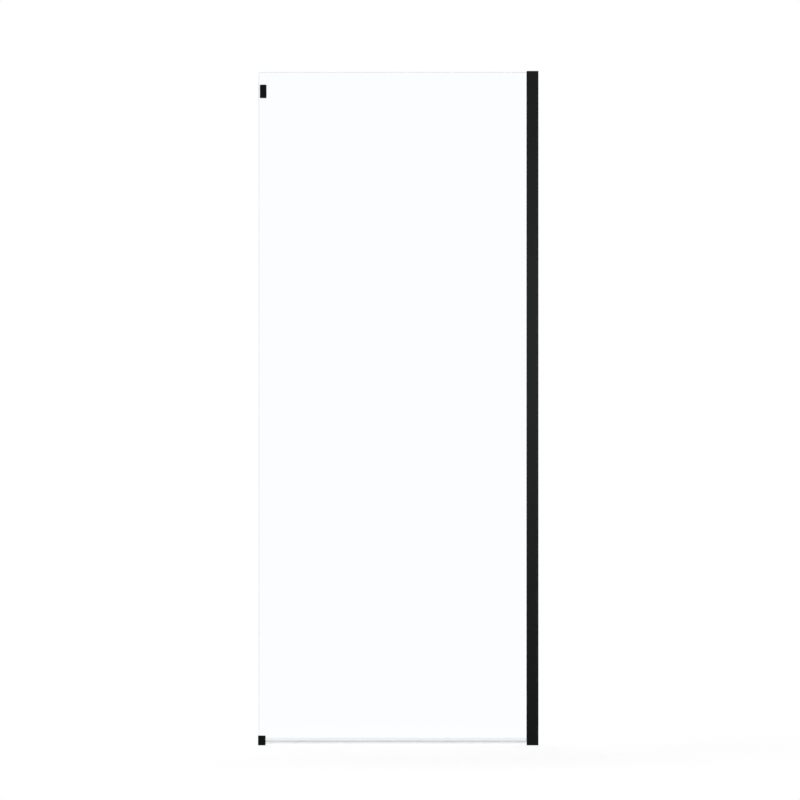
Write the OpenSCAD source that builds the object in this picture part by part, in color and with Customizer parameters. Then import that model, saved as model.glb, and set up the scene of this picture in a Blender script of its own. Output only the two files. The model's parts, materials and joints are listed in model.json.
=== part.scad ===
// Glass shower side panel for a sliding door enclosure.
// The wall is the plane x = 0 and the tray is the plane z = 0.
// The pane stands on the plane y = 0 and reaches from the wall towards -X.
// The outside of the enclosure is on the -Y side, and the door rail leaves towards +Y.

/* [Panel] */
// Height from the tray to the top of the wall channel
panel_h = 1900; // [1400:10:2100]
// Width from the wall to the free side of the corner foot, with the pane fully home
panel_w = 790; // [500:10:1200]
// How far the pane can be drawn out of the wall channel to suit the wall
adjust = 20; // [18:1:40]

/* [Pane] */
// Thickness of the toughened glass
glass_t = 6; // [5:1:8]
// Depth of glass held inside the glass profile
glass_grip = 16; // [12:1:18]
// Gap from the held edge of the glass to the web of the glass profile
glass_edge_gap = 2; // [1:0.5:3]
// Height of the lower edge of the glass above the tray
glass_lift = 12; // [10:1:20]
// Width of the ground arris along the edges of the glass
arris = 0.8; // [0.4:0.1:1.5]
// Length cut off each corner of the glass
glass_corner = 2; // [1:0.5:5]

/* [Wall channel] */
// Wall thickness of the channel
channel_t = 1.6; // [1.4:0.1:2.5]
// Thickness of the web that is screwed to the wall
channel_web_t = 2.2; // [1.8:0.1:3.5]
// Diameter of the wall fixing holes
wall_hole_d = 5.5; // [4:0.1:7]
// Number of wall fixing holes
wall_hole_count = 4; // [2:1:6]
// Distance from the ends of the channel to the first and last wall fixing hole
wall_hole_end = 100; // [60:5:160]
// Sliding gap between the glass profile and the channel, on each side
run_gap = 0.3; // [0.2:0.05:0.5]
// Gap between the back edge of the glass profile and the web of the channel
back_gap = 0.8; // [0.4:0.1:1.5]
// Thickness of the cover strip
strip_t = 1.2; // [0.8:0.1:2]
// Depth of the grooves that hold the cover strip
groove_d = 0.8; // [0.5:0.1:1]
// Width of the lips outside the cover strip
groove_lip = 0.8; // [0.6:0.1:1.5]
// Gap all round the cover strip in its grooves
strip_gap = 0.1; // [0.05:0.05:0.3]

/* [End caps] */
// Thickness of the plate of the channel top cap
top_cap_t = 1.5; // [1:0.1:3]
// Thickness of the plate of the glass profile cap
profile_cap_t = 1.4; // [1:0.1:3]
// Depth of the plugs of the end caps
plug_depth = 8; // [4:1:15]
// Gap between a plug and the walls around it
plug_gap = 0.2; // [0.1:0.05:0.4]
// Gap between parts that slide over each other, and at the ends of the strips
slide_gap = 0.3; // [0.2:0.05:0.6]
// Thickness of the base plate of the channel foot
foot_plate_t = 1; // [0.8:0.1:2]
// Height above that plate of the runner under the glass profile
runner_h = 2; // [1:0.5:4]

/* [Glass profile] */
// Wall thickness of the glass profile
profile_t = 1.4; // [1.2:0.1:2]
// Thickness of the web between its pocket and its back chamber
profile_web_t = 1.6; // [1.2:0.1:2]
// Thickness of each gasket between the glass and the profile
gasket_t = 1.7; // [1.2:0.1:2.5]
// How far the gasket lips stand out of the mouth of the profile
gasket_lip = 0.6; // [0.3:0.1:1]
// Gap from the glass to the lip of each gasket at its root
gasket_groove = 0.4; // [0.2:0.1:0.6]

/* [Clamp screws] */
// Number of clamp screws
clamp_count = 3; // [2:1:5]
// Distance from the ends of the channel to the first and last clamp screw
clamp_end = 250; // [200:10:350]
// Thread diameter of the clamp screws
clamp_d = 4; // [3:0.5:5]
// Head diameter of the clamp screws
clamp_head_d = 7; // [6:0.5:8]
// Head height of the clamp screws
clamp_head_h = 2.6; // [2:0.1:4]
// Diameter of the washers
washer_d = 8; // [7.5:0.5:10]
// Thickness of the washers
washer_t = 0.5; // [0.3:0.1:1]
// Width across flats of the nuts
nut_af = 7; // [6:0.5:7]
// Height of the nuts
nut_h = 3.2; // [2:0.1:3.5]
// Gap round a screw in a clearance hole or slot
screw_gap = 0.25; // [0.15:0.05:0.5]
// Gap round a screw in its thread
thread_gap = 0.05; // [0.02:0.01:0.1]
// Gap past the washers at each end of their travel
end_gap = 0.6; // [0.3:0.1:1.5]
// Gap between the screw heads and the cover strip
head_gap = 0.4; // [0.2:0.1:1]
// Gap between the washers and the channel
washer_gap = 0.1; // [0.05:0.05:0.2]
// How far the clamp screws reach past their nuts
screw_tail = 0.8; // [0.4:0.1:1]

/* [Bottom seal] */
// Thickness of the walls of the seal
seal_t = 0.9; // [0.6:0.1:1.2]
// Height of the legs of the seal on the glass
seal_leg = 9.2; // [6:0.2:14]
// Diameter of the soft tube under the glass
seal_tube_d = 6; // [4:0.5:7]
// Wall thickness of the soft tube
seal_tube_t = 0.7; // [0.5:0.1:1]
// Gap between the seal and the glass
seal_gap = 0.1; // [0.05:0.05:0.2]

/* [Rail bracket] */
// Width of the bracket
bracket_w = 18.2; // [17:0.2:24]
// Height of the bracket
bracket_h = 37; // [37:1:50]
// Distance from the free edge of the glass to the bracket
bracket_inset = 3.3; // [2:0.1:8]
// Distance from the top of the glass to the bracket
bracket_drop = 35.5; // [20:0.5:80]
// Thickness of the outside plate
plate_t = 8; // [7.5:0.5:12]
// Thickness of the rubber gaskets on the glass
bracket_gasket_t = 1; // [0.8:0.1:2]
// How far the gaskets lie inside the outline of the bracket
bracket_gasket_inset = 0.6; // [0.4:0.1:1]
// Width of the edge bevels on the bracket and the corner foot
bevel = 0.7; // [0.4:0.1:1.2]
// Thickness of the flat door rail
rail_t = 10; // [10:0.5:12]
// Height of the flat door rail
rail_h = 30; // [24:1:31]
// Gap round the rail in its socket
rail_gap = 0.2; // [0.1:0.05:0.3]
// Depth of the socket
socket_depth = 16; // [10:1:25]
// Thickness of the base of the socket
socket_base_t = 6; // [5:0.5:10]
// Thread diameter of the bracket bolt
bolt_d = 5; // [4:0.5:5]
// Head diameter of the bracket bolt
bolt_head_d = 9.6; // [8:0.2:9.8]
// Head height of the bracket bolt
bolt_head_h = 2.6; // [2:0.1:3]
// Depth of the threaded hole in the outside plate
thread_depth = 6; // [5:0.5:6.5]
// Wall thickness of the bush in the glass
bush_t = 1.15; // [0.8:0.05:1.5]
// Gap round the bush in the hole in the glass
bush_gap = 0.2; // [0.1:0.05:0.4]
// Thread diameter of the rail grub screw
rail_grub_d = 4; // [3:0.5:5]

/* [Corner foot] */
// Width of the foot along the glass
foot_w = 21; // [19:0.5:30]
// Height of the foot
foot_h = 27; // [25:0.5:40]
// How far the foot stands out past the free edge of the glass
foot_wrap = 2; // [1.5:0.1:4]
// Gap between the free edge of the glass and the foot
foot_edge_gap = 0.3; // [0.2:0.1:0.5]
// Thickness of the outside cheek
front_cheek_t = 5; // [3:0.5:8]
// Thickness of the inside cheek
rear_cheek_t = 7; // [6.5:0.5:10]
// Thickness of the pads on the faces of the glass
foot_pad_t = 1.5; // [1:0.1:2.5]
// Thickness of the pad under the glass
base_pad_t = 2; // [1:0.5:3]
// Thickness of the pressure plate
pressure_t = 1.5; // [1:0.1:2.5]
// Gap from the pads and the pressure plate to the edges of the cheeks
foot_inset = 0.8; // [0.5:0.1:1.5]
// Thread diameter of the foot grub screws
foot_grub_d = 4; // [3:0.5:5]
// Length of the foot grub screws
foot_grub_l = 6; // [5:0.5:6]
// Distance between the foot grub screws
foot_grub_pitch = 9; // [7:0.5:10]
// Diameter of the tapped hole for the door sill
sill_hole_d = 4.2; // [3.3:0.1:5]
// Depth of the tapped hole for the door sill
sill_hole_l = 9; // [6:0.5:12]

/* [Hidden] */

$fn = 48;
// Overrun of a cut past the face it opens
cut = 1;
// Colours of the finishes
matte_black = [0.15, 0.16, 0.16];
nylon_black = [0.08, 0.08, 0.09];
rubber_black = [0.05, 0.05, 0.05];
steel = [0.62, 0.63, 0.65];
glass_tint = [0.93, 0.98, 0.98, 0.35];
clear_pvc = [0.86, 0.89, 0.90, 0.6];

// Half thicknesses across the glass, from the middle of the pane outwards
glass_y = glass_t / 2;
pocket_y = glass_y + gasket_t;
profile_y = pocket_y + profile_t;
cavity_y = profile_y + run_gap;
channel_y = cavity_y + channel_t;

// Clamp screws: distance of their axis from the wall with the pane home
clamp_x = channel_web_t + end_gap + washer_d / 2;
channel_w = clamp_x + adjust + washer_d / 2 + end_gap + channel_t;
washer_y = channel_y + washer_gap;
clamp_seat_y = washer_y + washer_t;
clamp_top_y = clamp_seat_y + clamp_head_h;
clamp_tip_y = pocket_y - nut_h - screw_tail;
clamp_hole_d = clamp_d + 2 * screw_gap;

// Trough on the inside of the channel, with its grooves and lips
strip_y = clamp_top_y + head_gap;
groove_y = strip_y - strip_gap;
groove_end_y = strip_y + strip_t + strip_gap;
trough_y = groove_end_y + groove_lip;
trough_x = channel_w - channel_t;

// Glass profile along the glass, as distances from the wall
profile_back_x = channel_web_t + back_gap;
profile_web_x = channel_w - glass_grip - glass_edge_gap - profile_web_t;
glass_held_x = channel_w - glass_grip;
glass_free_x = panel_w - foot_wrap;

// Heights
channel_top_z = panel_h - top_cap_t;
profile_cap_z = channel_top_z - slide_gap - profile_cap_t;
glass_top_z = profile_cap_z;
runner_z = foot_plate_t + runner_h;
profile_z = runner_z + slide_gap;

// Rail bracket
bracket_x = glass_free_x - bracket_inset - bracket_w / 2;
bracket_z = glass_top_z - bracket_drop - bracket_h / 2;
plate_y = glass_y + bracket_gasket_t;
socket_floor_y = plate_y + socket_base_t;
socket_end_y = socket_floor_y + socket_depth;
bush_bore_d = bolt_d + 2 * screw_gap;
bush_d = bush_bore_d + 2 * bush_t;
glass_hole_d = bush_d + 2 * bush_gap;
bolt_tip_y = plate_y + thread_depth - screw_gap;
rail_grub_l = (bracket_w - rail_t) / 2 - rail_gap;
rail_grub_y = socket_floor_y + socket_depth / 2;

// Corner foot
foot_x0 = panel_w - foot_w;
foot_mid_x = panel_w - foot_w / 2;
foot_floor_z = glass_lift - base_pad_t;
foot_front_y = glass_y + foot_pad_t + front_cheek_t;
foot_slot_front_y = glass_y + foot_pad_t;
foot_slot_rear_y = glass_y + foot_pad_t + pressure_t;
foot_rear_y = foot_slot_rear_y + rear_cheek_t;
foot_grub_z = (foot_floor_z + foot_h) / 2 + base_pad_t / 2;
foot_grip_mid_x = (foot_x0 + glass_free_x) / 2;
sill_hole_z = foot_floor_z / 2;

// Bottom seal
seal_web_z = glass_lift - seal_gap;
seal_tube_z = seal_web_z - seal_t - seal_tube_d / 2 + seal_tube_t / 2;
seal_y = glass_y + seal_gap;

// Places of a row of features between two ends of the panel
function row(count, end) = [for (i = [0 : count - 1]) end + i * (panel_h - 2 * end) / (count - 1)];

wall_hole_z = row(wall_hole_count, wall_hole_end);
clamp_z = row(clamp_count, clamp_end);

// Rectangle between two corners of a plane figure
module span(a, b) {
    translate(a) square(b - a);
}

// Rectangle between two corners, with its own corners cut off
module cut_span(a, b, c) {
    polygon([
        [a.x + c, a.y], [b.x - c, a.y], [b.x, a.y + c], [b.x, b.y - c],
        [b.x - c, b.y], [a.x + c, b.y], [a.x, b.y - c], [a.x, a.y + c]
    ]);
}

// Sweeps a figure of the X and Y axes along Z
module along_z(z0, z1) {
    translate([0, 0, z0]) linear_extrude(z1 - z0) children();
}

// Sweeps a figure of the X and Z axes along Y
module along_y(y0, y1) {
    translate([0, y1, 0]) rotate([90, 0, 0]) linear_extrude(y1 - y0) children();
}

// Sweeps a figure of the Y and Z axes along X
module along_x(x0, x1) {
    translate([x0, 0, 0]) rotate([90, 0, 90]) linear_extrude(x1 - x0) children();
}

// Block between two opposite corners
module block(a, b) {
    translate(a) cube(b - a);
}

// Block between two opposite corners, with all its edges bevelled
module bevelled_block(a, b, c) {
    intersection() {
        along_z(a.z, b.z) cut_span([a.x, a.y], [b.x, b.y], c);
        along_y(a.y, b.y) cut_span([a.x, a.z], [b.x, b.z], c);
        along_x(a.x, b.x) cut_span([a.y, a.z], [b.y, b.z], c);
    }
}

// Round bar along Y at a place on the X and Z axes
module bar_y(x, z, y0, y1, d) {
    translate([x, y1, z]) rotate([90, 0, 0]) cylinder(h = y1 - y0, d = d);
}

// Outline of the whole channel, which its caps share
module channel_outline() {
    span([-channel_w, -channel_y], [0, channel_y]);
    span([-channel_w, cavity_y], [0, trough_y]);
}

// Section of the wall channel
module channel_section() {
    difference() {
        channel_outline();
        span([-channel_w - cut, -cavity_y], [-channel_web_t, cavity_y]);
        span([-trough_x, channel_y], [-channel_web_t, trough_y + cut]);
        span([-trough_x - groove_d, groove_y], [-channel_web_t + groove_d, groove_end_y]);
    }
}

// U channel screwed to the wall, with a trough for the clamp screws on its inside
module wall_channel() {
    color(matte_black) difference() {
        along_z(foot_plate_t, channel_top_z) channel_section();
        for (z = wall_hole_z)
            translate([-channel_web_t - cut, 0, z]) rotate([0, 90, 0])
                cylinder(h = channel_web_t + 2 * cut, d = wall_hole_d);
        for (z = clamp_z) clamp_slot(z);
    }
}

// Slot that one clamp screw travels along
module clamp_slot(z) {
    y0 = cavity_y - cut;
    y1 = channel_y + cut;
    bar_y(-clamp_x, z, y0, y1, clamp_hole_d);
    bar_y(-clamp_x - adjust, z, y0, y1, clamp_hole_d);
    block(
        [-clamp_x - adjust, y0, z - clamp_hole_d / 2],
        [-clamp_x, y1, z + clamp_hole_d / 2]
    );
}

// Plug that fills the trough under the cover strip
module trough_plug(z0, z1) {
    block(
        [-trough_x + plug_gap, channel_y + plug_gap, z0],
        [-channel_web_t - plug_gap, groove_y - plug_gap, z1]
    );
}

// Cap on top of the wall channel
module channel_top_cap() {
    color(nylon_black) {
        along_z(channel_top_z, panel_h) channel_outline();
        trough_plug(channel_top_z - plug_depth, channel_top_z);
    }
}

// Shoe under the wall channel, with the runner that carries the glass profile
module channel_foot() {
    color(nylon_black) {
        along_z(0, foot_plate_t) channel_outline();
        trough_plug(foot_plate_t, foot_plate_t + plug_depth);
        block(
            [-channel_w, -cavity_y + plug_gap, foot_plate_t],
            [-channel_web_t - plug_gap, cavity_y - plug_gap, runner_z]
        );
    }
}

// Flat strip that slides into the grooves and hides the clamp screws
module cover_strip() {
    color(matte_black) block(
        [-trough_x - groove_d + strip_gap, strip_y, foot_plate_t + strip_gap],
        [-channel_web_t + groove_d - strip_gap, strip_y + strip_t, channel_top_z - strip_gap]
    );
}

// Toughened pane with ground edges and one hole for the rail bracket
module glass_pane() {
    color(glass_tint) difference() {
        intersection() {
            along_y(-glass_y, glass_y)
                cut_span([-glass_free_x, glass_lift], [-glass_held_x, glass_top_z], glass_corner);
            along_z(glass_lift, glass_top_z)
                cut_span([-glass_free_x, -glass_y], [-glass_held_x, glass_y], arris);
            along_x(-glass_free_x, -glass_held_x)
                cut_span([-glass_y, glass_lift], [glass_y, glass_top_z], arris);
        }
        bar_y(-bracket_x, bracket_z, -glass_y - cut, glass_y + cut, glass_hole_d);
    }
}

// Section of the profile that holds the pane and slides in the channel
module profile_section() {
    for (side = [-1, 1])
        span([-channel_w, side * (profile_y - profile_t / 2) - profile_t / 2],
             [-profile_back_x, side * (profile_y - profile_t / 2) + profile_t / 2]);
    span([-profile_web_x - profile_web_t, -profile_y], [-profile_web_x, profile_y]);
}

// Profile that holds the pane and slides in the channel
module glass_profile() {
    color(matte_black) difference() {
        along_z(profile_z, profile_cap_z) profile_section();
        for (z = clamp_z)
            bar_y(-clamp_x, z, pocket_y - cut, profile_y + cut, clamp_hole_d);
    }
}

// Cap on top of the glass profile, plugged into its back chamber
module glass_profile_cap() {
    color(nylon_black) {
        block([-channel_w, -profile_y, profile_cap_z],
              [-profile_back_x, profile_y, profile_cap_z + profile_cap_t]);
        block([-profile_web_x + plug_gap, -pocket_y + plug_gap, profile_cap_z - plug_depth],
              [-profile_back_x - plug_gap, pocket_y - plug_gap, profile_cap_z]);
    }
}

// Section of a gasket on the +Y side of the pane: a strip, two barbs on the glass and a lip
module gasket_section() {
    mouth = -channel_w;
    deep = -glass_held_x - 2 * arris;
    barb = (deep - mouth) / 3;
    polygon([
        [mouth - gasket_lip, glass_y],
        [mouth + gasket_lip, glass_y + gasket_groove],
        [mouth + barb - gasket_lip, glass_y + gasket_groove],
        [mouth + barb, glass_y],
        [mouth + barb + gasket_lip, glass_y + gasket_groove],
        [mouth + 2 * barb - gasket_lip, glass_y + gasket_groove],
        [mouth + 2 * barb, glass_y],
        [mouth + 2 * barb + gasket_lip, glass_y + gasket_groove],
        [deep - gasket_lip, glass_y + gasket_groove],
        [deep, glass_y],
        [deep, pocket_y],
        [mouth, pocket_y],
        [mouth, pocket_y + profile_t / 2],
        [mouth - gasket_lip / 2, pocket_y + profile_t / 2]
    ]);
}

// Gasket on the outside of the pane
module gasket_front() {
    color(rubber_black) along_z(glass_lift, glass_top_z) mirror([0, 1, 0]) gasket_section();
}

// Gasket on the inside of the pane
module gasket_rear() {
    color(rubber_black) along_z(glass_lift, glass_top_z) gasket_section();
}

// Block in the foot of the pocket, on which the pane stands
module pane_setting_block() {
    color(nylon_black) block(
        [-channel_w + gasket_lip, -pocket_y + plug_gap, profile_z],
        [-profile_web_x - profile_web_t - plug_gap, pocket_y - plug_gap, glass_lift]
    );
}

// Hexagonal socket in the end of a screw, opened towards +Y
module hex_socket(x, z, y_end, af, depth) {
    translate([x, y_end + cut, z]) rotate([90, 0, 0])
        cylinder(h = depth + cut, d = af / cos(30), $fn = 6);
}

// Screws that clamp the glass profile in the channel
module clamp_screws() {
    color(steel) for (z = clamp_z) difference() {
        union() {
            bar_y(-clamp_x, z, clamp_seat_y, clamp_top_y, clamp_head_d);
            bar_y(-clamp_x, z, clamp_tip_y, clamp_seat_y, clamp_d);
        }
        hex_socket(-clamp_x, z, clamp_top_y, clamp_d * 0.75, clamp_head_h * 0.6);
    }
}

// Washers under the heads of the clamp screws
module clamp_washers() {
    color(steel) for (z = clamp_z) difference() {
        bar_y(-clamp_x, z, washer_y, clamp_seat_y, washer_d);
        bar_y(-clamp_x, z, washer_y - cut, clamp_seat_y + cut, clamp_hole_d);
    }
}

// Nuts of the clamp screws, behind the wall of the glass profile
module clamp_nuts() {
    color(steel) for (z = clamp_z) difference() {
        translate([-clamp_x, pocket_y, z]) rotate([90, 30, 0])
            cylinder(h = nut_h, d = nut_af / cos(30), $fn = 6);
        bar_y(-clamp_x, z, pocket_y - nut_h - cut, pocket_y + cut, clamp_d + 2 * thread_gap);
    }
}

// Section of the clear seal: two legs on the glass, a web and a soft tube
module seal_section() {
    leg_top = glass_lift + seal_leg;
    difference() {
        union() {
            span([-seal_y - seal_t, seal_web_z - seal_t], [seal_y + seal_t, leg_top]);
            translate([0, seal_tube_z]) circle(d = seal_tube_d);
        }
        span([-seal_y, seal_web_z], [seal_y, leg_top + cut]);
        translate([0, seal_tube_z]) circle(d = seal_tube_d - 2 * seal_tube_t);
    }
}

// Clear seal along the lower edge of the pane, from the corner foot to the profile
module bottom_seal() {
    color(clear_pvc)
        along_x(-foot_x0 + slide_gap, -channel_w - gasket_lip - slide_gap) seal_section();
}

// Corner of a bracket piece at a place across the glass
function bracket_corner(side, y, inset) =
    [-bracket_x + side * (bracket_w / 2 - inset), y, bracket_z + side * (bracket_h / 2 - inset)];

// Plate on the outside of the pane
module bracket_plate() {
    color(matte_black) difference() {
        bevelled_block(
            bracket_corner(-1, -plate_y - plate_t, 0),
            bracket_corner(1, -plate_y, 0),
            bevel
        );
        bar_y(-bracket_x, bracket_z, -plate_y - thread_depth, -plate_y + cut, bolt_d + 2 * thread_gap);
    }
}

// Rubber gasket between a bracket piece and the glass, from y0 to y1
module bracket_gasket(y0, y1) {
    color(rubber_black) difference() {
        block(
            bracket_corner(-1, y0, bracket_gasket_inset),
            bracket_corner(1, y1, bracket_gasket_inset)
        );
        bar_y(-bracket_x, bracket_z, y0 - cut, y1 + cut, bush_bore_d);
    }
}

// Gasket under the outside plate
module bracket_gasket_front() {
    bracket_gasket(-plate_y, -glass_y);
}

// Gasket under the rail socket
module bracket_gasket_rear() {
    bracket_gasket(glass_y, plate_y);
}

// Bush that keeps the bolt off the glass
module bracket_bush() {
    color(nylon_black) difference() {
        bar_y(-bracket_x, bracket_z, -glass_y, glass_y, bush_d);
        bar_y(-bracket_x, bracket_z, -glass_y - cut, glass_y + cut, bush_bore_d);
    }
}

// Countersunk head, wide at the floor of the socket
module bolt_head(gap) {
    translate([-bracket_x, socket_floor_y, bracket_z]) rotate([90, 0, 0])
        cylinder(h = bolt_head_h, d1 = bolt_head_d + 2 * gap, d2 = bolt_d + 2 * gap);
}

// Socket on the inside of the pane that takes the end of the door rail
module rail_socket() {
    pocket = [rail_t / 2 + rail_gap, 0, rail_h / 2 + rail_gap];
    middle = [-bracket_x, socket_floor_y, bracket_z];
    color(matte_black) difference() {
        bevelled_block(
            bracket_corner(-1, plate_y, 0),
            bracket_corner(1, socket_end_y, 0),
            bevel
        );
        block(middle - pocket, middle + pocket + [0, socket_depth + cut, 0]);
        bar_y(-bracket_x, bracket_z, plate_y - cut, socket_floor_y + cut, bush_bore_d);
        bolt_head(thread_gap);
        translate([-bracket_x, rail_grub_y, bracket_z]) rotate([0, 90, 0])
            cylinder(h = bracket_w, d = rail_grub_d + 2 * thread_gap);
    }
}

// Countersunk bolt that holds the bracket through the glass
module bracket_bolt() {
    color(steel) difference() {
        union() {
            bolt_head(0);
            bar_y(-bracket_x, bracket_z, -bolt_tip_y, socket_floor_y - bolt_head_h / 2, bolt_d);
        }
        hex_socket(-bracket_x, bracket_z, socket_floor_y, bolt_d * 0.6, bolt_head_h * 0.7);
    }
}

// Grub screw that locks the rail in its socket, flush with the wall of the socket
module rail_grub_screw() {
    end_x = -bracket_x + bracket_w / 2;
    color(steel) difference() {
        translate([end_x - rail_grub_l, rail_grub_y, bracket_z]) rotate([0, 90, 0])
            cylinder(h = rail_grub_l, d = rail_grub_d);
        translate([end_x - rail_grub_l * 0.6, rail_grub_y, bracket_z]) rotate([0, 90, 0])
            cylinder(h = rail_grub_l, d = rail_grub_d / 2 / cos(30), $fn = 6);
    }
}

// Places of the foot grub screws along the glass
function foot_grub_x() = [for (side = [-1, 1]) -foot_grip_mid_x + side * foot_grub_pitch / 2];

// Block that holds the free lower corner of the pane
module foot_block() {
    color(matte_black) difference() {
        bevelled_block([-panel_w, -foot_front_y, 0], [-foot_x0, foot_rear_y, foot_h], bevel);
        block([-glass_free_x - foot_edge_gap, -foot_slot_front_y, foot_floor_z],
              [-foot_x0 + cut, foot_slot_rear_y, foot_h + cut]);
        for (x = foot_grub_x())
            bar_y(x, foot_grub_z, foot_slot_rear_y - cut, foot_rear_y + cut,
                  foot_grub_d + 2 * thread_gap);
        bar_y(-foot_mid_x, sill_hole_z, foot_rear_y - sill_hole_l, foot_rear_y + cut, sill_hole_d);
    }
}

// Pad or plate in the slot of the foot, beside the glass from y0 to y1
module foot_liner(y0, y1) {
    block([-glass_free_x + foot_inset, y0, glass_lift],
          [-foot_x0 - foot_inset, y1, foot_h - foot_inset]);
}

// Plate that spreads the force of the grub screws
module foot_pressure_plate() {
    color(steel) foot_liner(glass_y + foot_pad_t, foot_slot_rear_y);
}

// Grub screws that press the plate on the pane
module foot_grub_screws() {
    color(steel) for (x = foot_grub_x()) difference() {
        bar_y(x, foot_grub_z, foot_slot_rear_y, foot_slot_rear_y + foot_grub_l, foot_grub_d);
        hex_socket(x, foot_grub_z, foot_slot_rear_y + foot_grub_l,
                   foot_grub_d / 2, foot_grub_l / 2);
    }
}

// Pad on the outside of the pane
module foot_pad_front() {
    color(rubber_black) foot_liner(-foot_slot_front_y, -glass_y);
}

// Pad on the inside of the pane
module foot_pad_rear() {
    color(rubber_black) foot_liner(glass_y, glass_y + foot_pad_t);
}

// Pad under the pane
module foot_pad_base() {
    color(rubber_black) block(
        [-glass_free_x, -foot_slot_front_y + plug_gap, foot_floor_z],
        [-foot_x0 - foot_inset, foot_slot_rear_y - plug_gap, glass_lift]
    );
}

wall_channel();
channel_top_cap();
channel_foot();
cover_strip();
glass_pane();
glass_profile();
glass_profile_cap();
gasket_front();
gasket_rear();
pane_setting_block();
clamp_screws();
clamp_washers();
clamp_nuts();
bottom_seal();
bracket_plate();
bracket_gasket_front();
bracket_gasket_rear();
bracket_bush();
rail_socket();
bracket_bolt();
rail_grub_screw();
foot_block();
foot_pressure_plate();
foot_grub_screws();
foot_pad_front();
foot_pad_rear();
foot_pad_base();
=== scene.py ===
# %% [markdown]
# # A glass shower side panel
# The panel is a tall pane of toughened glass. It is held at the wall in a black aluminium channel, it
# stands on a small foot at its free lower corner, and a bracket near its upper corner takes the end of the
# door rail. The sizes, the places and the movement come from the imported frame. This script gives every
# piece its real surface: eased edges, screw threads, glass, seals and finishes. It then sets the panel in a
# white studio.

# %% Load the frame
import json
import math

import bmesh
import bpy
from mathutils import Matrix, Vector


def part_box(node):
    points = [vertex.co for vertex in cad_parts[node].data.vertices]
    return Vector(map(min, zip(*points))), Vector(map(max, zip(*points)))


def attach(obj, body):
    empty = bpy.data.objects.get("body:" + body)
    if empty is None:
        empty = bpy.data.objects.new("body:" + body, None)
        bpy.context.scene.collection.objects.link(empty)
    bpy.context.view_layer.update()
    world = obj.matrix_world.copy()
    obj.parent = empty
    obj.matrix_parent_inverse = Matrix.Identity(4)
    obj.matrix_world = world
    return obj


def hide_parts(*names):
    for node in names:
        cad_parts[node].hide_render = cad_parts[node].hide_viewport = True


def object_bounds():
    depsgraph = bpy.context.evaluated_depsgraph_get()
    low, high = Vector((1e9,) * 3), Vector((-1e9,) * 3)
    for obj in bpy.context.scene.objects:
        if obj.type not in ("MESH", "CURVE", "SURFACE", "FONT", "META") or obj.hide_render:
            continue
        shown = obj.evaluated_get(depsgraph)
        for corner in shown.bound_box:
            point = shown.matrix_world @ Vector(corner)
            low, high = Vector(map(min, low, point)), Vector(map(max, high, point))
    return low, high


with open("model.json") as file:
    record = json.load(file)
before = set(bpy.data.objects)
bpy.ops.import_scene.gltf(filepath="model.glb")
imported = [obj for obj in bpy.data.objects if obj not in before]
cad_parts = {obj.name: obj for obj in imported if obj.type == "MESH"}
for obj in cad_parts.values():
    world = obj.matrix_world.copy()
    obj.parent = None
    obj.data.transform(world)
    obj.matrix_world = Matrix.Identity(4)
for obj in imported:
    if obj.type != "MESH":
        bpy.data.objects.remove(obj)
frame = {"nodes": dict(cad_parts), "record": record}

cad_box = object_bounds()
print("Frame:", len(frame["nodes"]), "nodes from", tuple(cad_box[0]), "to", tuple(cad_box[1]))

# %% [markdown]
# ## The camera
# The photograph looks square at the outside of the panel from far away: its edges stay parallel, and the
# thick bracket shows nothing of its sides. An orthographic camera would do that too, but a long lens twenty
# metres away also keeps a trace of real perspective. The panel's height in the picture gives the scale, and
# the wall edge and the tray edge of the panel say where the middle of the picture lies.

# %% Camera
MM = 0.001
PICTURE = 800
PANEL_TOP_PX, TRAY_PX, WALL_PX = 71.03, 745.23, 538.4
CAMERA_DISTANCE = 20.0

metres_per_pixel = (cad_box[1].z - cad_box[0].z) / (TRAY_PX - PANEL_TOP_PX)
middle = Vector((
    cad_box[1].x - (WALL_PX - PICTURE / 2) * metres_per_pixel,
    0,
    cad_box[0].z + (TRAY_PX - PICTURE / 2) * metres_per_pixel,
))
camera = bpy.data.objects.new("photo_camera", bpy.data.cameras.new("photo_camera"))
bpy.context.scene.collection.objects.link(camera)
camera.location = middle - Vector((0, CAMERA_DISTANCE, 0))
camera.rotation_euler = (math.radians(90), 0, 0)
camera.data.lens = camera.data.sensor_width * CAMERA_DISTANCE / (PICTURE * metres_per_pixel)
bpy.context.scene.camera = camera
print(f"Camera: {camera.data.lens:.1f} mm lens, {metres_per_pixel / MM:.3f} mm to a pixel")

# %% [markdown]
# ## Colours and nodes
# A colour is written as it looks on a screen, in sRGB. The renderer adds up light, so it needs linear
# values, and one function turns one into the other. A second small function adds a node to a material: its
# own settings, the values of its sockets, and the outputs that feed them. Every finish below is built with
# these two. A Mix node has one set of sockets for numbers and one for colours, all with the same names, so
# they are picked by their places.

# %% Colour and node helpers
NUMBER_A, NUMBER_B, NUMBER_OUT = 2, 3, 0
COLOUR_A, COLOUR_B, COLOUR_OUT = 6, 7, 2


def linear(code):
    """Linear RGBA of an sRGB colour such as #1c1d1d."""
    parts = [int(code[i:i + 2], 16) / 255 for i in (1, 3, 5)]
    return [p / 12.92 if p <= 0.04045 else ((p + 0.055) / 1.055) ** 2.4 for p in parts] + [1.0]


def add(tree, kind, sockets=None, links=None, **settings):
    """Adds a node with its settings, the values of its sockets and the outputs linked to them."""
    node = tree.nodes.new(kind)
    for name, value in settings.items():
        setattr(node, name, value)
    for name, value in (sockets or {}).items():
        node.inputs[name].default_value = value
    for name, output in (links or {}).items():
        tree.links.new(output, node.inputs[name])
    return node


def start(name):
    """A new material: its node tree and its shader."""
    material = bpy.data.materials.new(name)
    material.use_nodes = True
    return material, material.node_tree, material.node_tree.nodes["Principled BSDF"]


print("Mid grey #808080 is", [round(v, 3) for v in linear("#808080")[:3]])

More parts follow.
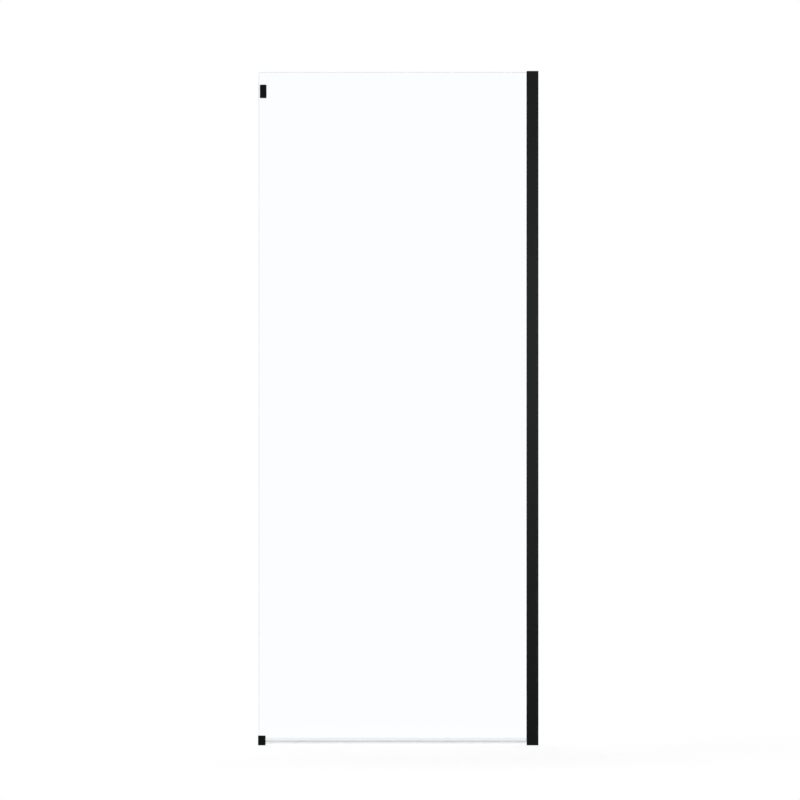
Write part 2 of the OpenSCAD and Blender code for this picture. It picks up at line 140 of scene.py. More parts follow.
# %% [markdown]
# ## Powder-coated aluminium
# The channel, the glass profile and the cover strip are aluminium extrusions. They are sprayed with black
# polyester powder and baked, so the coat flows a little and sets. That gives the eye an even, matt black
# with a fine skin of soft grains about half a millimetre wide, and under it a trace of the straight lines
# that the extrusion die leaves. As geometry this would take millions of faces, so two noise patterns in
# real millimetres make the grains and the die lines as bump, and a slow third one lets the sheen drift a
# little along the length. The base colour is very dark, because the white room adds its own reflection.

# %% Powder coat
def powder_coated_aluminium():
    grain_mm, die_line_mm, stretch, drift_mm = 0.55, 0.7, 250, 90
    material, tree, shader = start("powder_coated_aluminium")
    place = add(tree, "ShaderNodeTexCoord").outputs["Object"]
    grains = add(tree, "ShaderNodeTexNoise", {"Scale": 1 / (grain_mm * MM), "Detail": 2.0}, {"Vector": place})
    along = add(tree, "ShaderNodeMapping", {"Scale": (1.0, 1.0, 1 / stretch)}, {"Vector": place})
    die_lines = add(tree, "ShaderNodeTexNoise", {"Scale": 1 / (die_line_mm * MM), "Detail": 1.0},
                    {"Vector": along.outputs["Vector"]})
    drift = add(tree, "ShaderNodeTexNoise", {"Scale": 1 / (drift_mm * MM), "Detail": 3.0}, {"Vector": place})
    coat = add(tree, "ShaderNodeMix", {COLOUR_A: linear("#1a1c1c"), COLOUR_B: linear("#1f2121")},
               {"Factor": drift.outputs["Fac"]}, data_type="RGBA")
    rough = add(tree, "ShaderNodeMapRange", {"To Min": 0.5, "To Max": 0.62}, {"Value": drift.outputs["Fac"]})
    lines = add(tree, "ShaderNodeBump", {"Strength": 0.25, "Distance": 0.01 * MM},
                {"Height": die_lines.outputs["Fac"]})
    skin = add(tree, "ShaderNodeBump", {"Strength": 1.0, "Distance": 0.12 * MM},
               {"Height": grains.outputs["Fac"], "Normal": lines.outputs["Normal"]})
    shader.inputs["Specular IOR Level"].default_value = 0.06
    tree.links.new(coat.outputs[COLOUR_OUT], shader.inputs["Base Color"])
    tree.links.new(rough.outputs["Result"], shader.inputs["Roughness"])
    tree.links.new(skin.outputs["Normal"], shader.inputs["Normal"])
    return material


POWDER_COAT = powder_coated_aluminium()
print("Finish:", POWDER_COAT.name)

# %% [markdown]
# ## Painted zinc casting
# The bracket and the foot are zinc die castings, tumbled to break their edges and painted black. The die
# leaves a skin like very fine sand under the paint, with grains about a third of a millimetre wide, so the
# sheen is a little more broken than on the smooth extrusions. Noise would look cloudy here, so the cells of
# a Voronoi pattern give those grains.

# %% Painted casting
def painted_zinc_casting():
    grain_mm, cloud_mm = 0.35, 9
    material, tree, shader = start("painted_zinc_casting")
    place = add(tree, "ShaderNodeTexCoord").outputs["Object"]
    grains = add(tree, "ShaderNodeTexVoronoi", {"Scale": 1 / (grain_mm * MM)}, {"Vector": place},
                 feature="SMOOTH_F1")
    clouds = add(tree, "ShaderNodeTexNoise", {"Scale": 1 / (cloud_mm * MM), "Detail": 4.0}, {"Vector": place})
    paint = add(tree, "ShaderNodeMix", {COLOUR_A: linear("#0f1011"), COLOUR_B: linear("#151616")},
                {"Factor": clouds.outputs["Fac"]}, data_type="RGBA")
    rough = add(tree, "ShaderNodeMapRange", {"To Min": 0.42, "To Max": 0.6}, {"Value": clouds.outputs["Fac"]})
    skin = add(tree, "ShaderNodeBump", {"Strength": 1.0, "Distance": 0.035 * MM},
               {"Height": grains.outputs["Distance"]})
    shader.inputs["Specular IOR Level"].default_value = 0.06
    tree.links.new(paint.outputs[COLOUR_OUT], shader.inputs["Base Color"])
    tree.links.new(rough.outputs["Result"], shader.inputs["Roughness"])
    tree.links.new(skin.outputs["Normal"], shader.inputs["Normal"])
    return material


PAINTED_CASTING = painted_zinc_casting()
print("Finish:", PAINTED_CASTING.name)

# %% [markdown]
# ## Moulded nylon
# The caps, the shoe, the setting block and the bush are injection-moulded nylon. The mould is spark-eroded,
# which prints a fine, even texture on the plastic. It looks dry and slightly grey beside the painted metal.
# Fine noise makes the texture, and a coarser one the cloudy flow marks near the gate. The real pits are
# about a tenth of a millimetre wide. They are drawn at a quarter of a millimetre, so that they still show
# from a step away.

# %% Nylon
def moulded_nylon():
    texture_mm, flow_mm = 0.25, 6
    material, tree, shader = start("moulded_nylon")
    place = add(tree, "ShaderNodeTexCoord").outputs["Object"]
    texture = add(tree, "ShaderNodeTexNoise",
                  {"Scale": 1 / (texture_mm * MM), "Detail": 3.0, "Roughness": 0.7}, {"Vector": place})
    flow = add(tree, "ShaderNodeTexNoise", {"Scale": 1 / (flow_mm * MM), "Distortion": 1.5},
               {"Vector": place})
    plastic = add(tree, "ShaderNodeMix", {COLOUR_A: linear("#191a1b"), COLOUR_B: linear("#222324")},
                  {"Factor": flow.outputs["Fac"]}, data_type="RGBA")
    rough = add(tree, "ShaderNodeMapRange", {"To Min": 0.5, "To Max": 0.68},
                {"Value": texture.outputs["Fac"]})
    spark = add(tree, "ShaderNodeBump", {"Strength": 1.0, "Distance": 0.04 * MM},
                {"Height": texture.outputs["Fac"]})
    shader.inputs["Specular IOR Level"].default_value = 0.2
    tree.links.new(plastic.outputs[COLOUR_OUT], shader.inputs["Base Color"])
    tree.links.new(rough.outputs["Result"], shader.inputs["Roughness"])
    tree.links.new(spark.outputs["Normal"], shader.inputs["Normal"])
    return material


NYLON = moulded_nylon()
print("Finish:", NYLON.name)

# %% [markdown]
# ## Rubber
# The glazing gaskets and the pads are black EPDM rubber. Rubber drinks light, and a thin grey bloom comes
# to its surface with time, so it is darker than the metal but never quite even. The extruded gaskets also
# carry fine lines along their length. A noise pattern stretched along Z draws them as bump, so the gasket
# itself can stay a simple strip.

# %% Rubber
def epdm_rubber():
    line_mm, stretch, bloom_mm = 0.3, 100, 14
    material, tree, shader = start("epdm_rubber")
    place = add(tree, "ShaderNodeTexCoord").outputs["Object"]
    along = add(tree, "ShaderNodeMapping", {"Scale": (1.0, 1.0, 1 / stretch)}, {"Vector": place})
    lines = add(tree, "ShaderNodeTexNoise", {"Scale": 1 / (line_mm * MM)},
                {"Vector": along.outputs["Vector"]})
    bloom = add(tree, "ShaderNodeTexNoise", {"Scale": 1 / (bloom_mm * MM), "Detail": 5.0}, {"Vector": place})
    rubber = add(tree, "ShaderNodeMix", {COLOUR_A: linear("#131313"), COLOUR_B: linear("#1d1d1e")},
                 {"Factor": bloom.outputs["Fac"]}, data_type="RGBA")
    rough = add(tree, "ShaderNodeMapRange", {"To Min": 0.7, "To Max": 0.9}, {"Value": bloom.outputs["Fac"]})
    ribs = add(tree, "ShaderNodeBump", {"Strength": 0.4, "Distance": 0.02 * MM},
               {"Height": lines.outputs["Fac"]})
    shader.inputs["Specular IOR Level"].default_value = 0.2
    tree.links.new(rubber.outputs[COLOUR_OUT], shader.inputs["Base Color"])
    tree.links.new(rough.outputs["Result"], shader.inputs["Roughness"])
    tree.links.new(ribs.outputs["Normal"], shader.inputs["Normal"])
    return material


RUBBER = epdm_rubber()
print("Finish:", RUBBER.name)

# %% [markdown]
# ## Marks on steel
# The screws and nuts are turned, so the light runs round their ends in fine rings. The washers and the
# pressure plate are stamped from rolled sheet, which has straight grain lines instead. Rings could be
# centred on a screw with a Mapping node, but then every screw would need a material of its own. So each
# turned piece keeps its own lathe coordinates as an attribute, with its axis along Z, and the ring pattern
# reads the distance from that axis. Both patterns are drawn two or three times as coarse as the real ones,
# which a render of these small pieces would blur away.

# %% Rings and grain
LATHE = "lathe"


def turning_rings(tree):
    """Rings round the lathe axis."""
    ring_mm = 0.18
    turned = add(tree, "ShaderNodeAttribute", attribute_name=LATHE).outputs["Vector"]
    across = add(tree, "ShaderNodeVectorMath", {1: (1, 1, 0)}, {0: turned}, operation="MULTIPLY")
    radius = add(tree, "ShaderNodeVectorMath", links={0: across.outputs["Vector"]}, operation="LENGTH")
    return add(tree, "ShaderNodeTexNoise", {"Scale": 1 / (ring_mm * MM), "Detail": 2.0},
               {"W": radius.outputs["Value"]}, noise_dimensions="1D").outputs["Fac"]


def rolling_grain(tree):
    """Straight lines along Z."""
    line_mm, stretch = 0.12, 50
    place = add(tree, "ShaderNodeTexCoord").outputs["Object"]
    along = add(tree, "ShaderNodeMapping", {"Scale": (1.0, 1.0, 1 / stretch)}, {"Vector": place})
    return add(tree, "ShaderNodeTexNoise", {"Scale": 1 / (line_mm * MM), "Detail": 2.0},
               {"Vector": along.outputs["Vector"]}).outputs["Fac"]


print("Rings are drawn round the axis of the attribute", LATHE)

# %% [markdown]
# ## Stainless steel
# The small metal pieces are A2 stainless steel, a light grey with a trace of warmth, left smooth but not
# polished. The metal is the same under both kinds of marks, so one function makes it and is told which
# marks to use. The marks give half of its shade, and faint stains a few millimetres wide, as hands and oil
# leave them, give the other half. The marks also steer the roughness and a very shallow bump, so that a
# highlight breaks up along them.

# %% Stainless steel
def stainless_steel(name, marks_of):
    stain_mm = 2.5
    material, tree, shader = start(name)
    marks = add(tree, "ShaderNodeMapRange", {"From Min": 0.3, "From Max": 0.7},
                {"Value": marks_of(tree)}).outputs["Result"]
    place = add(tree, "ShaderNodeTexCoord").outputs["Object"]
    stain = add(tree, "ShaderNodeTexNoise", {"Scale": 1 / (stain_mm * MM), "Detail": 3.0}, {"Vector": place})
    shade = add(tree, "ShaderNodeMix", links={NUMBER_A: stain.outputs["Fac"], NUMBER_B: marks})
    metal = add(tree, "ShaderNodeMix", {COLOUR_A: linear("#a5a3a0"), COLOUR_B: linear("#cfcecc")},
                {"Factor": shade.outputs[NUMBER_OUT]}, data_type="RGBA")
    rough = add(tree, "ShaderNodeMapRange", {"To Min": 0.22, "To Max": 0.42}, {"Value": marks})
    cuts = add(tree, "ShaderNodeBump", {"Strength": 0.8, "Distance": 0.015 * MM}, {"Height": marks})
    shader.inputs["Metallic"].default_value = 1.0
    tree.links.new(metal.outputs[COLOUR_OUT], shader.inputs["Base Color"])
    tree.links.new(rough.outputs["Result"], shader.inputs["Roughness"])
    tree.links.new(cuts.outputs["Normal"], shader.inputs["Normal"])
    return material


TURNED_STEEL = stainless_steel("turned_stainless_steel", turning_rings)
SHEET_STEEL = stainless_steel("rolled_stainless_sheet", rolling_grain)
print("Finish:", TURNED_STEEL.name, "and", SHEET_STEEL.name)

# %% [markdown]
# ## Toughened glass
# The faces of the pane are float glass, polished by fire, and they take away a trace of red and green as
# light goes through. Toughening draws the hot pane over rollers, which leaves very shallow waves about 300
# mm apart. They show only when a reflection bends, so they are bump and not shape. A Wave texture runs
# through 20 radians in one unit, and its scale follows from that.

# %% Toughened glass
def toughened_glass():
    roller_wave_mm, radians_per_unit = 300, 20
    material, tree, shader = start("toughened_float_glass")
    place = add(tree, "ShaderNodeTexCoord").outputs["Object"]
    waves = add(tree, "ShaderNodeTexWave",
                {"Scale": math.tau / radians_per_unit / (roller_wave_mm * MM), "Distortion": 0.6},
                {"Vector": place}, bands_direction="Z")
    bend = add(tree, "ShaderNodeBump", {"Strength": 0.3, "Distance": 0.02 * MM},
               {"Height": waves.outputs["Fac"]})
    shader.inputs["Base Color"].default_value = linear("#fbfdff")
    shader.inputs["Roughness"].default_value = 0.0
    shader.inputs["IOR"].default_value = 1.52
    shader.inputs["Transmission Weight"].default_value = 1.0
    tree.links.new(bend.outputs["Normal"], shader.inputs["Normal"])
    return material


GLASS = toughened_glass()
print("Finish:", GLASS.name)

# %% [markdown]
# ## Ground glass
# The edges of the pane are ground by a stone and stay matt, so light scatters there and each edge reads as
# a grey line. The stone leaves fine pits, and where it bites deeper the tint changes a little. Fully clear
# rough glass would turn nearly white in this room, so only a part of the light goes through, and a pale
# green-grey surface scatters the rest.

# %% Ground edge
def ground_glass_edge():
    grit_mm, chip_mm = 0.2, 3
    material, tree, shader = start("ground_glass_edge")
    place = add(tree, "ShaderNodeTexCoord").outputs["Object"]
    grit = add(tree, "ShaderNodeTexNoise", {"Scale": 1 / (grit_mm * MM), "Detail": 3.0}, {"Vector": place})
    chips = add(tree, "ShaderNodeTexNoise", {"Scale": 1 / (chip_mm * MM), "Detail": 4.0}, {"Vector": place})
    edge = add(tree, "ShaderNodeMix", {COLOUR_A: linear("#bfc9c7"), COLOUR_B: linear("#cad4d2")},
               {"Factor": chips.outputs["Fac"]}, data_type="RGBA")
    stone = add(tree, "ShaderNodeBump", {"Strength": 0.5, "Distance": 0.02 * MM},
                {"Height": grit.outputs["Fac"]})
    shader.inputs["Roughness"].default_value = 0.55
    shader.inputs["IOR"].default_value = 1.52
    shader.inputs["Transmission Weight"].default_value = 0.6
    tree.links.new(edge.outputs[COLOUR_OUT], shader.inputs["Base Color"])
    tree.links.new(stone.outputs["Normal"], shader.inputs["Normal"])
    return material


GLASS_EDGE = ground_glass_edge()
print("Finish:", GLASS_EDGE.name)

# %% [markdown]
# ## Clear PVC
# The seal is extruded from two kinds of PVC at once: a stiff, clear clip that grips the glass, and a soft
# tube that closes the gap to the tray. Both carry the fine drawing lines of their die along X, so one
# function makes both. The clip is nearly as clear as the glass, and the soft tube is duller and a little
# frosted. The thin grey line under the pane in the photograph is where the light bends most, between the
# glass, the clip and the top of the tube.

# %% Clear PVC
def extruded_pvc(name, tints, roughness, clearness):
    line_mm, stretch = 0.5, 100
    material, tree, shader = start(name)
    place = add(tree, "ShaderNodeTexCoord").outputs["Object"]
    along = add(tree, "ShaderNodeMapping", {"Scale": (1 / stretch, 1.0, 1.0)}, {"Vector": place})
    lines = add(tree, "ShaderNodeTexNoise", {"Scale": 1 / (line_mm * MM), "Detail": 1.0},
                {"Vector": along.outputs["Vector"]})
    tint = add(tree, "ShaderNodeMix", {COLOUR_A: linear(tints[0]), COLOUR_B: linear(tints[1])},
               {"Factor": lines.outputs["Fac"]}, data_type="RGBA")
    drawn = add(tree, "ShaderNodeBump", {"Strength": 0.3, "Distance": 0.01 * MM},
                {"Height": lines.outputs["Fac"]})
    shader.inputs["Roughness"].default_value = roughness
    shader.inputs["IOR"].default_value = 1.53
    shader.inputs["Transmission Weight"].default_value = clearness
    tree.links.new(tint.outputs[COLOUR_OUT], shader.inputs["Base Color"])
    tree.links.new(drawn.outputs["Normal"], shader.inputs["Normal"])
    return material


STIFF_PVC = extruded_pvc("stiff_clear_pvc", ("#fbfdfd", "#fefefe"), roughness=0.08, clearness=0.97)
SOFT_PVC = extruded_pvc("soft_clear_pvc", ("#fafbfb", "#fdfdfd"), roughness=0.2, clearness=0.97)
print("Finish:", STIFF_PVC.name, "and", SOFT_PVC.name)

# %% [markdown]
# ## Handing a piece to the frame
# Each piece made below stands for one node of the frame. It rides on the same body as that node and hides
# the node. The record knows the body, so one function does all this for every piece. The faces are shaded
# smooth, and a Weighted Normal modifier keeps the broad faces flat between their eased edges.

# %% Dress a node
SHARP = math.radians(35)

body_of = {n: body for body, nodes in frame["record"]["behaviour"]["bodies"].items() for n in nodes}
slot_of = {part["node"]: part["material_slot"] for part in frame["record"]["subparts"]}


def dress(node, mesh, *materials):
    """Makes a finished bmesh the visible piece of a node."""
    data = bpy.data.meshes.new(f"{node}_detail")
    mesh.to_mesh(data)
    mesh.free()
    for material in materials:
        data.materials.append(material)
    data.polygons.foreach_set("use_smooth", [True] * len(data.polygons))
    data.set_sharp_from_angle(angle=SHARP)
    piece = bpy.data.objects.new(f"{node}_detail", data)
    bpy.context.scene.collection.objects.link(piece)
    weighted = piece.modifiers.new("even_shading", "WEIGHTED_NORMAL")
    weighted.keep_sharp = True
    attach(piece, body_of[node])
    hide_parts(node)
    print(f"{piece.name}: {len(data.polygons)} faces on {body_of[node]}")


# %% [markdown]
# ## Eased copies
# No real edge is perfectly sharp. A die, a mould or a tumbler leaves a small radius, and that radius
# catches a thin line of light. The frame's own meshes are loose triangles with sharp edges, so a copy is
# taken, its doubled points are merged, flat areas are joined into single faces, and the sharp edges are
# bevelled to small arcs. The bevel keeps the outer faces where they are, so the piece still fits its
# neighbours.

# %% Merge and ease
SAME_POINT = 0.001 * MM
FLAT = math.radians(0.5)


def merged(node):
    """A joined copy of a node's mesh, with its flat areas as single faces."""
    mesh = bmesh.new()
    mesh.from_mesh(frame["nodes"][node].data)
    bmesh.ops.remove_doubles(mesh, verts=mesh.verts, dist=SAME_POINT)
    bmesh.ops.dissolve_limit(mesh, angle_limit=FLAT, verts=mesh.verts, edges=mesh.edges)
    for face in mesh.faces:
        face.material_index = 0
    return mesh


def ease(mesh, radius_mm, segments, chosen=None):
    """Rounds the sharp edges of a mesh, or only those that chosen picks."""
    edges = [e for e in mesh.edges if len(e.link_faces) == 2 and e.calc_face_angle(0) > SHARP]
    edges = [e for e in edges if chosen is None or chosen(e)]
    bmesh.ops.bevel(mesh, geom=edges, offset=radius_mm * MM, offset_type="OFFSET", segments=segments,
                    profile=0.5, affect="EDGES", clamp_overlap=True, material=-1)
    return mesh


sample = merged("cover_strip")
print("Cover strip after merging:", len(sample.faces), "faces")
sample.free()

# %% [markdown]
# ## Extrusions
# The wall channel, the glass profile and the cover strip come out of a die with corners of about a quarter
# of a millimetre, and the coat of powder rounds them a little more. Only the corners that run the whole
# length come from the die, so only those are bevelled. The sawn ends and the milled slots stay crisp. This
# choice also helps the bevel, which never grows wider than its shortest neighbour, and the small facets of
# the slots would hold it back.

# %% Channel, profile and strip
EXTRUSION_EDGE_MM, SHORTEST_DIE_EDGE_MM = 0.3, 100


def from_the_die(edge):
    """Whether an edge runs along the profile."""
    return abs(edge.verts[0].co.z - edge.verts[1].co.z) > SHORTEST_DIE_EDGE_MM * MM


for node in ("wall_channel", "glass_profile", "cover_strip"):
    dress(node, ease(merged(node), EXTRUSION_EDGE_MM, 3, from_the_die), POWDER_COAT)

# %% [markdown]
# ## Mouldings
# A mould is milled, so its inner corners carry the radius of the cutter, and the plastic repeats it. The
# caps show this best, because they close the two ends of the black profiles. Modelling these pieces afresh
# could only spoil their fit, so they are eased copies too, with every sharp edge rounded.

# %% Caps, shoe, setting block and bush
MOULDING_EDGE_MM = 0.3

for node in ("channel_top_cap", "channel_foot", "glass_profile_cap", "pane_setting_block", "bracket_bush"):
    dress(node, ease(merged(node), MOULDING_EDGE_MM, 3), NYLON)

# %% [markdown]
# ## Castings
# The bracket and the foot already have cast bevels in the frame. Tumbling rounds both corners of each
# bevel, which turns it into a soft shoulder. The holes are drilled later, so their rims get only the small
# break of a deburring tool. One bevel can't do both, so there are two. A rim is a circle of short facets,
# and the length of an edge tells the two kinds apart.

# %% Bracket plate, rail socket and foot
CASTING_EDGE_MM, RIM_EDGE_MM, LONGEST_FACET_MM = 0.3, 0.1, 0.6


def cast(edge):
    """Whether an edge was cast, and isn't a facet of a drilled rim."""
    return edge.calc_length() > LONGEST_FACET_MM * MM


for node in ("bracket_plate", "rail_socket", "foot_block"):
    tumbled = ease(merged(node), CASTING_EDGE_MM, 3, cast)
    dress(node, ease(tumbled, RIM_EDGE_MM, 2), PAINTED_CASTING)

# %% [markdown]
# ## Rubber parts
# The gaskets are extruded and the pads are cut from sheet. Rubber gives under the blade, so its edges are
# only just rounded. The record's material slot picks these nodes, and not a list of their names, so no pad
# can be forgotten.

# %% Gaskets and pads
RUBBER_EDGE_MM = 0.15
RUBBER_NODES = [n for n in sorted(slot_of) if slot_of[n] == "rubber_black"]

for node in RUBBER_NODES:
    dress(node, ease(merged(node), RUBBER_EDGE_MM, 2), RUBBER)

# %% [markdown]
# ## Pressed steel
# The washers and the pressure plate are stamped from sheet, which leaves edges that would cut a finger. So
# they are rolled in a barrel, which takes off about a tenth of a millimetre. An arc that small needs only
# two segments.

# %% Washers and pressure plate
STAMPED_EDGE_MM = 0.12

for node in ("clamp_washers", "foot_pressure_plate"):
    dress(node, ease(merged(node), STAMPED_EDGE_MM, 2), SHEET_STEEL)

# %% [markdown]
# ## Threads
# A screw thread is a small tooth that climbs one pitch for each turn. A Screw modifier could make it, but a
# spin does the same inside the mesh, where the next steps can go on from it: it takes the outline of one
# tooth, turns it round the axis and lifts it a little at each step. Neighbouring turns then meet and are
# merged, and two cuts give the rod its flat ends. The tooth has the metric form, with a flat crest an
# eighth of the pitch wide and flanks at sixty degrees.

# %% Threaded rod
STEPS = 48
CREST, ROOT, FLANK = 1 / 8, 1 / 4, 5 / 16
THREAD_DEPTH = 0.6134


def cut_flat(mesh, height, keep_above):
    """Cuts a mesh at a height and closes it with one face, which is given back."""
    bmesh.ops.bisect_plane(
        mesh, geom=mesh.verts[:] + mesh.edges[:] + mesh.faces[:], dist=SAME_POINT,
        plane_co=(0, 0, height), plane_no=(0, 0, 1), clear_inner=keep_above, clear_outer=not keep_above,
    )
    rim = [e for e in mesh.edges if e.is_boundary and all(abs(v.co.z - height) < SAME_POINT for v in e.verts)]
    return bmesh.ops.edgeloop_fill(mesh, edges=rim)["faces"][0]


def threaded_rod(diameter_mm, pitch_mm, low_mm, high_mm):
    """A threaded rod along Z between two heights, with its lower and upper end faces."""
    pitch, crest = pitch_mm * MM, diameter_mm / 2 * MM
    root = crest - THREAD_DEPTH * pitch
    turns = math.ceil(high_mm / pitch_mm) + 2    # with a spare turn below and above, for the cuts
    mesh = bmesh.new()
    tooth = [(root, 0), (root, ROOT / 2), (crest, ROOT / 2 + FLANK), (crest, ROOT / 2 + FLANK + CREST),
             (root, 1 - ROOT / 2), (root, 1)]
    points = [mesh.verts.new((r, 0, (z - 1) * pitch)) for r, z in tooth]
    edges = [mesh.edges.new(pair) for pair in zip(points, points[1:])]
    bmesh.ops.spin(mesh, geom=points + edges, cent=(0, 0, 0), axis=(0, 0, 1), dvec=(0, 0, pitch / STEPS),
                   angle=math.tau * turns, steps=STEPS * turns, use_merge=False)
    bmesh.ops.remove_doubles(mesh, verts=mesh.verts, dist=SAME_POINT)
    low = cut_flat(mesh, low_mm * MM, keep_above=True)
    high = cut_flat(mesh, high_mm * MM, keep_above=False)
    bmesh.ops.recalc_face_normals(mesh, faces=mesh.faces)
    return mesh, low, high


def open_edges(mesh):
    """How many edges don't join exactly two faces."""
    return sum(not e.is_manifold for e in mesh.edges)


sample, _, _ = threaded_rod(4, 0.7, 0, 6)
print("M4 rod, 6 mm long:", len(sample.faces), "faces,", open_edges(sample), "open edges")
sample.free()

# %% [markdown]
# ## Sockets and points
# Sockets could be cut with a Boolean modifier, but everything at the end of a screw is only a step: the end
# face is inset, the ring of points that this makes is set on a circle or a hexagon, and the face inside it
# is pushed out or sunk. One step outwards is the chamfer of a tip, and another one back inwards is the cup
# of a grub screw, which bites into what it presses on. A hexagon that is sunk, and a last step down, are a
# key socket with the coned floor that the punch leaves.

# %% Hexagon socket and shaped ends
SIXTH = math.radians(60)
INSET_MM, ROD_CHAMFER_MM = 0.05, 0.4
TIP_SHARE = 0.36                     # radius of a chamfered tip, in diameters of its rod
CONE_SHARE, CONE_FALL = 0.1, 0.12    # radius and depth of a cone's point, in widths of its hole or rod


def on_circle(point, radius):
    """Where a point lies when it is moved straight in or out to a circle round the Z axis."""
    angle = math.atan2(point.y, point.x)
    return Vector((math.cos(angle) * radius, math.sin(angle) * radius, point.z))


def on_hexagon(point, across_flats):
    """The same for a hexagon with flats towards +X and -X."""
    off_flat = (math.atan2(point.y, point.x) + SIXTH / 2) % SIXTH - SIXTH / 2
    return on_circle(point, across_flats / 2 / math.cos(off_flat))


def step(mesh, face, outline, size_mm, outwards_mm=0.0):
    """Insets an end face onto an outline of a size, then moves it along its normal."""
    bmesh.ops.inset_region(mesh, faces=[face], thickness=INSET_MM * MM, use_even_offset=True)
    shift = face.normal * outwards_mm * MM
    for point in face.verts:
        point.co = outline(point.co, size_mm * MM) + shift


def press_socket(mesh, face, across_flats_mm, depth_mm):
    """Presses a hexagon socket with a coned floor into a flat end face."""
    step(mesh, face, on_hexagon, across_flats_mm)
    floor = bmesh.ops.extrude_discrete_faces(mesh, faces=[face])["faces"][0]
    bmesh.ops.translate(mesh, verts=floor.verts, vec=-floor.normal * depth_mm * MM)
    step(mesh, floor, on_circle, across_flats_mm * CONE_SHARE, -across_flats_mm * CONE_FALL)


print("A 2 mm key socket is", round(2 / math.cos(SIXTH / 2), 2), "mm across its corners")

# %% [markdown]
# ## Turned pieces
# A screw is easiest to make upright at the origin. Before it goes to its place, each point's position there
# is written to the lathe attribute, which the steel finish reads for its rings. An object could be turned
# instead of its mesh, but the finished pieces all stay unturned at the origin. A row of equal screws is one
# screw that is duplicated and moved.

# %% Put a turned piece in its places
def put(mesh, axis, places):
    """Turns a piece from +Z to an axis and puts a copy at each place."""
    lathe = mesh.verts.layers.float_vector.new(LATHE)
    for point in mesh.verts:
        point[lathe] = point.co
    turn = Vector((0, 0, 1)).rotation_difference(Vector(axis)).to_matrix()
    bmesh.ops.rotate(mesh, verts=mesh.verts, cent=(0, 0, 0), matrix=turn)
    first = mesh.verts[:] + mesh.edges[:] + mesh.faces[:]
    for place in places[1:]:
        copy = bmesh.ops.duplicate(mesh, geom=first)["geom"]
        bmesh.ops.translate(mesh, verts=[g for g in copy if isinstance(g, bmesh.types.BMVert)],
                            vec=Vector(place) - Vector(places[0]))
    bmesh.ops.translate(mesh, verts=mesh.verts, vec=places[0])
    print(len(places), "placed along", axis, "with", len(mesh.faces), "faces in all")
    return mesh


print("Turned pieces carry the attribute", LATHE)

# %% [markdown]
# ## Screws with a head
# A head could be a cylinder pushed over the end of the rod, but then the end of the rod would stay hidden
# inside it. Here the head grows out of the rod by steps of its upper end face, and the screw stays one
# closed skin: a step outwards makes the underside of the head, one upwards its side, three short ones its
# rounded rim, and the key socket comes last. A countersunk head is the same with a narrow underside and a
# wide top.

# %% Headed screw
RIM_TURNS = [math.radians(a) for a in (0, 30, 60, 90)]


def headed_screw(rod, pitch_mm, length_mm, head, head_mm, rim_mm, key_mm, key_depth_mm):
    """A screw from 0 up to its length: rod is its thread diameter, head its diameters under and on top."""
    mesh, tip, top = threaded_rod(rod, pitch_mm, ROD_CHAMFER_MM, length_mm - head_mm)
    step(mesh, tip, on_circle, rod * TIP_SHARE, ROD_CHAMFER_MM)
    step(mesh, top, on_circle, head[0] / 2)
    step(mesh, top, on_circle, head[1] / 2, head_mm - rim_mm)
    for before, turn in zip(RIM_TURNS, RIM_TURNS[1:]):
        step(mesh, top, on_circle, head[1] / 2 - rim_mm * (1 - math.cos(turn)),
             rim_mm * (math.sin(turn) - math.sin(before)))
    press_socket(mesh, top, key_mm, key_depth_mm)
    return mesh


sample = headed_screw(rod=4, pitch_mm=0.7, length_mm=8, head=(7, 7), head_mm=2, rim_mm=0.7,
                      key_mm=3, key_depth_mm=1.4)
print("Headed screw:", len(sample.faces), "faces,", open_edges(sample), "open edges")
sample.free()

# %% [markdown]
# ## The clamp screws
# Three M4 screws with low cylinder heads clamp the glass profile in the channel, under the cover strip.
# Their places could be typed in, but the frame's own boxes say where the heads, the washers and the tips
# lie, and so the screws follow when the panel changes.

# %% Clamp screws
def centres_along(low, high, radius, count):
    """Evenly spaced centres between two ends that lie a radius outside the first and the last."""
    return [low + radius + i * (high - low - 2 * radius) / (count - 1) for i in range(count)]


low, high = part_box("clamp_screws")
seat_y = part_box("clamp_washers")[1].y
head_diameter = (high.x - low.x) / MM
places = [((low.x + high.x) / 2, low.y, z) for z in centres_along(low.z, high.z, head_diameter / 2 * MM, 3)]
screw = headed_screw(rod=4, pitch_mm=0.7, length_mm=(high.y - low.y) / MM,
                     head=(head_diameter, head_diameter), head_mm=(high.y - seat_y) / MM,
                     rim_mm=0.7, key_mm=3, key_depth_mm=1.4)
dress("clamp_screws", put(screw, (0, 1, 0), places), TURNED_STEEL)

# %% [markdown]
# ## The bracket bolt
# One M5 countersunk bolt holds both halves of the bracket through the hole in the glass. Its head lies
# flush with the floor of the rail socket. The same function makes it: the head is as narrow as the thread
# underneath and as wide as the frame's box on top, which gives the cone.

# %% Bracket bolt
low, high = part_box("bracket_bolt")
bolt = headed_screw(rod=5, pitch_mm=0.8, length_mm=(high.y - low.y) / MM, head=(5, (high.x - low.x) / MM),
                    head_mm=2.6, rim_mm=0.12, key_mm=3, key_depth_mm=1.7)
places = [((low.x + high.x) / 2, low.y, (low.z + high.z) / 2)]
dress("bracket_bolt", put(bolt, (0, 1, 0), places), TURNED_STEEL)

# %% [markdown]
# ## The grub screws
# A grub screw is only a threaded rod, with a key socket in one end and a cup in the other. One locks the
# rail in its socket from the side, and two press the plate in the foot against the glass. All three are M4,
# and only their length and the depth of the socket differ, so one function makes them.

